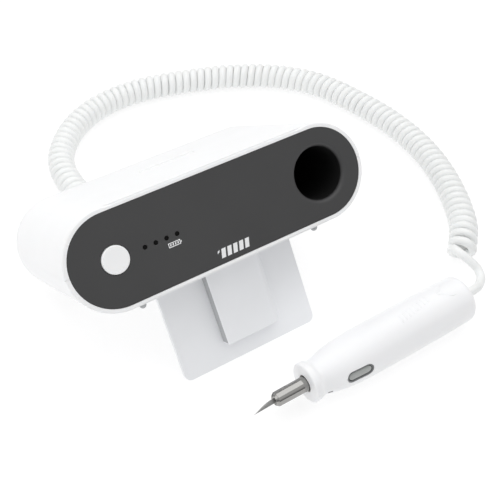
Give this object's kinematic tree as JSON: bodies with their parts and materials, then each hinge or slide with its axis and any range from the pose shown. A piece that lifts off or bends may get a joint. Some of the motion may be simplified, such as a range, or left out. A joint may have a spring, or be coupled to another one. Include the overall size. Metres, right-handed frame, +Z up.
{
  "type": "ultrasonic cutter",
  "caption": "Battery-powered ultrasonic cutter: oblong control unit leaning on a stand plate, with a round handpiece holder, a curly cord and a pen-shaped handpiece with a small blade.",
  "frame": {"origin": "on the table, under the middle of the control unit and handpiece together (the cord is not counted)", "axes": "+Z up from the table; +X along the width of the unit, from the power button to the holder; +Y from the handpiece towards the back of the unit"},
  "size_m": [0.2557, 0.2756, 0.0929],
  "materials": {
    "white_shell": "satin",
    "grey_panel": "matte",
    "white_button": "satin",
    "smoked_light": "gloss",
    "stand_plastic": "satin",
    "grey_rubber": "matte",
    "black_plastic": "matte",
    "dark_rubber": "matte",
    "circuit_board": "satin",
    "ferrite": "matte",
    "heat_sink_metal": "brushed",
    "cell_wrap": "gloss",
    "screw_steel": "satin",
    "handle_plastic": "satin",
    "bezel_plastic": "satin",
    "silver_button": "gloss",
    "horn_metal": "polished",
    "piezo_ceramic": "matte",
    "electrode_copper": "satin",
    "mass_steel": "satin",
    "blade_steel": "satin",
    "cord_cover": "satin"
  },
  "bodies": {
    "unit": {"stand_plate": "stand_plastic", "stand_spine": "stand_plastic", "upper_shell": "white_shell", "lower_shell": "white_shell", "front_panel": "grey_panel", "rear_cover": "white_shell", "shell_screws": "screw_steel", "feet": "grey_rubber", "holder_tube": "black_plastic", "holder_pad": "dark_rubber", "button_switch": "black_plastic", "battery_lights": "smoked_light", "front_board": "circuit_board", "driver_board": "circuit_board", "output_transformer": "ferrite", "heat_sink": "heat_sink_metal", "battery_tray": "black_plastic", "battery_cells": "cell_wrap", "charge_socket": "black_plastic", "cord_gland": "cord_cover", "base_lead": "cord_cover", "coil_cord": "cord_cover"},
    "power_key": {"power_button": "white_button"},
    "handpiece": {"handle_body": "handle_plastic", "nose_cap": "handle_plastic", "end_cap": "handle_plastic", "press_bezel": "bezel_plastic", "press_board": "circuit_board", "horn": "horn_metal", "horn_rings": "dark_rubber", "piezo_rings": "piezo_ceramic", "electrodes": "electrode_copper", "back_mass": "mass_steel", "preload_bolt": "mass_steel", "blade_screw": "screw_steel", "cord_sleeve": "cord_cover", "handle_lead": "cord_cover"},
    "press_key": {"press_button": "silver_button"},
    "cutter": {"blade": "blade_steel"}
  },
  "joints": [
    {"name": "power_press", "type": "slide", "parent": "unit", "child": "power_key", "axis": [0, 0.8241, -0.5664], "range_m": [0, 0.001], "stiffness_N_per_m": 1500, "springref_m": -0.001},
    {"name": "handpiece_lift", "type": "slide", "parent": "unit", "child": "handpiece", "axis": [0, 0, 1], "range_m": [0, 0.05]},
    {"name": "handle_press", "type": "slide", "parent": "handpiece", "child": "press_key", "axis": [-0.0203, 0.9701, -0.2419], "range_m": [0, 0.0006], "stiffness_N_per_m": 2000, "springref_m": -0.0006},
    {"name": "blade_pull", "type": "slide", "parent": "handpiece", "child": "cutter", "axis": [-0.9998, -0.0209, 0], "range_m": [0, 0.008]}
  ]
}
